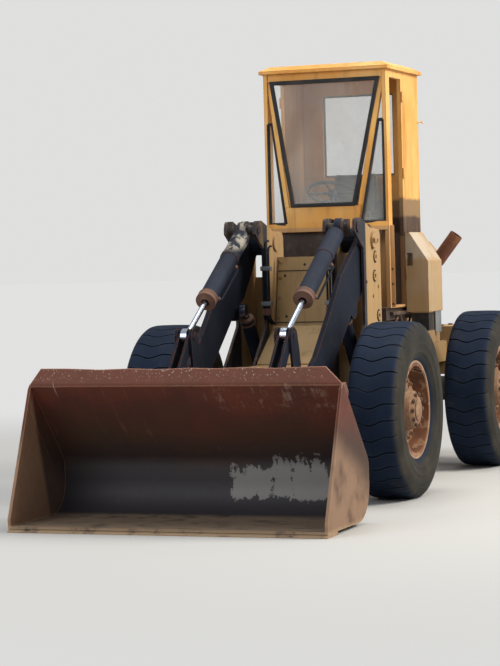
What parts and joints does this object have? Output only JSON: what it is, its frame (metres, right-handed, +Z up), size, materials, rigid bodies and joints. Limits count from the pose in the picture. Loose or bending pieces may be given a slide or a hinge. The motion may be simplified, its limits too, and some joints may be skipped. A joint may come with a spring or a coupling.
{
  "type": "wheel loader",
  "caption": "Articulated wheel loader with a front bucket on lifting arms, a tall narrow cab and four lugged tyres.",
  "frame": {"origin": "on the ground under the middle of the machine's length and width", "axes": "+Z up, the bucket looks to -Y, +X is the machine's left"},
  "size_m": [2.22, 6.04, 3.252],
  "materials": {
    "tyre_rubber": "worn",
    "rusty_rim": "rusty",
    "frame_tan": "faded",
    "axle_dark": "dull",
    "cab_ochre": "faded, chipped",
    "arm_black": "worn",
    "chromed_rod": "polished",
    "bucket_rust": "rusty",
    "cab_glass": "dusty",
    "engine_iron": "dull",
    "seat_vinyl": "worn",
    "dark_plastic": "worn",
    "exhaust_rust": "rusty"
  },
  "bodies": {
    "rear_frame": {"rear_chassis": "frame_tan", "engine_block": "engine_iron", "engine_hood": "frame_tan", "radiator_grille": "axle_dark", "counterweight": "frame_tan", "cab_frame": "cab_ochre", "cab_roof": "cab_ochre", "windscreen": "cab_glass", "rear_window": "cab_glass", "quarter_windows": "cab_glass", "cab_base": "frame_tan", "seat_base": "dark_plastic", "seat_cushion": "seat_vinyl", "seat_back": "seat_vinyl", "steering_console": "dark_plastic", "steering_wheel": "dark_plastic", "side_tanks": "frame_tan", "exhaust_stack": "exhaust_rust"},
    "front_frame": {"front_chassis": "frame_tan", "lift_towers": "frame_tan", "front_cover": "frame_tan", "front_axle": "axle_dark"},
    "rear_axle": {"rear_axle": "axle_dark"},
    "wheel_front_left": {"tyre_front_left": "tyre_rubber", "rim_front_left": "rusty_rim"},
    "wheel_front_right": {"tyre_front_right": "tyre_rubber", "rim_front_right": "rusty_rim"},
    "wheel_rear_left": {"tyre_rear_left": "tyre_rubber", "rim_rear_left": "rusty_rim"},
    "wheel_rear_right": {"tyre_rear_right": "tyre_rubber", "rim_rear_right": "rusty_rim"},
    "lift_arms": {"lift_arms": "arm_black"},
    "tilt_levers": {"tilt_levers": "arm_black"},
    "tilt_links": {"tilt_links": "arm_black"},
    "tilt_barrels": {"tilt_barrels": "arm_black"},
    "tilt_rods": {"tilt_rods": "chromed_rod"},
    "lift_barrels": {"lift_barrels": "arm_black"},
    "lift_rods": {"lift_rods": "chromed_rod"},
    "steer_barrel_left": {"steer_barrel_left": "arm_black"},
    "steer_rod_left": {"steer_rod_left": "chromed_rod"},
    "steer_barrel_right": {"steer_barrel_right": "arm_black"},
    "steer_rod_right": {"steer_rod_right": "chromed_rod"},
    "bucket": {"bucket": "bucket_rust", "cutting_edge": "bucket_rust"}
  },
  "joints": [
    {"name": "articulation", "type": "hinge", "parent": "rear_frame", "child": "front_frame", "pos_m": [0, 0.57, 0.7], "axis": [0, 0, 1], "range_deg": [-35, 35]},
    {"name": "axle_swing", "type": "hinge", "parent": "rear_frame", "child": "rear_axle", "pos_m": [0, 1.82, 0.638], "axis": [0, 1, 0], "range_deg": [-11, 11]},
    {"name": "lift", "type": "hinge", "parent": "front_frame", "child": "lift_arms", "pos_m": [0, -0.06, 1.87], "axis": [-1, 0, 0], "range_deg": [0, 75]},
    {"name": "tilt", "type": "hinge", "parent": "lift_arms", "child": "bucket", "pos_m": [0, -2.01, 0.33], "axis": [-1, 0, 0], "range_deg": [-120, 40]},
    {"name": "lever", "type": "hinge", "parent": "lift_arms", "child": "tilt_levers", "pos_m": [0, -1.556, 0.821], "axis": [-1, 0, 0], "range_deg": [-108.2, 36.2]},
    {"name": "link", "type": "hinge", "parent": "tilt_levers", "child": "tilt_links", "pos_m": [0, -1.64, 1.22], "axis": [-1, 0, 0], "range_deg": [-35.1, 104.8]},
    {"name": "tilt_cylinder_swing", "type": "hinge", "parent": "front_frame", "child": "tilt_barrels", "pos_m": [0, -0.42, 1.97], "axis": [-1, 0, 0], "range_deg": [0, 93.6]},
    {"name": "tilt_cylinder_stroke", "type": "slide", "parent": "tilt_barrels", "child": "tilt_rods", "axis": [0, -0.8519, -0.5237], "range_m": [-0.181, 0.54]},
    {"name": "lift_cylinder_swing", "type": "hinge", "parent": "front_frame", "child": "lift_barrels", "pos_m": [0, 0.11, 0.61], "axis": [-1, 0, 0], "range_deg": [0, 7.6]},
    {"name": "lift_cylinder_stroke", "type": "slide", "parent": "lift_barrels", "child": "lift_rods", "axis": [0, -0.5969, 0.8023], "range_m": [0, 0.753]},
    {"name": "steer_swing_left", "type": "hinge", "parent": "rear_frame", "child": "steer_barrel_left", "pos_m": [0.36, 1.32, 0.7], "axis": [0, 0, 1], "range_deg": [-5, 5]},
    {"name": "steer_stroke_left", "type": "slide", "parent": "steer_barrel_left", "child": "steer_rod_left", "axis": [0, -1, 0], "range_m": [-0.213, 0.213]},
    {"name": "steer_swing_right", "type": "hinge", "parent": "rear_frame", "child": "steer_barrel_right", "pos_m": [-0.36, 1.32, 0.7], "axis": [0, 0, 1], "range_deg": [-5, 5]},
    {"name": "steer_stroke_right", "type": "slide", "parent": "steer_barrel_right", "child": "steer_rod_right", "axis": [0, -1, 0], "range_m": [-0.213, 0.213]},
    {"name": "roll_front_left", "type": "hinge", "parent": "front_frame", "child": "wheel_front_left", "pos_m": [0.858, -0.68, 0.638], "axis": [1, 0, 0], "continuous": true},
    {"name": "roll_front_right", "type": "hinge", "parent": "front_frame", "child": "wheel_front_right", "pos_m": [-0.858, -0.68, 0.638], "axis": [1, 0, 0], "continuous": true},
    {"name": "roll_rear_left", "type": "hinge", "parent": "rear_axle", "child": "wheel_rear_left", "pos_m": [0.858, 1.82, 0.638], "axis": [1, 0, 0], "continuous": true},
    {"name": "roll_rear_right", "type": "hinge", "parent": "rear_axle", "child": "wheel_rear_right", "pos_m": [-0.858, 1.82, 0.638], "axis": [1, 0, 0], "continuous": true}
  ],
  "couplings": [
    {"joint": "lever", "follows": "tilt", "ratio": 0.9},
    {"joint": "link", "follows": "tilt", "ratio": -0.871},
    {"joint": "tilt_cylinder_swing", "follows": "lift", "ratio": 1.244},
    {"joint": "tilt_cylinder_stroke", "follows": "tilt", "m_per_rad": -0.2567},
    {"joint": "lift_cylinder_swing", "follows": "lift", "ratio": 0.1},
    {"joint": "lift_cylinder_stroke", "follows": "lift", "m_per_rad": 0.575},
    {"joint": "steer_swing_left", "follows": "articulation", "ratio": 0.14},
    {"joint": "steer_stroke_left", "follows": "articulation", "m_per_rad": -0.3465},
    {"joint": "steer_swing_right", "follows": "articulation", "ratio": 0.14},
    {"joint": "steer_stroke_right", "follows": "articulation", "m_per_rad": 0.3465}
  ]
}
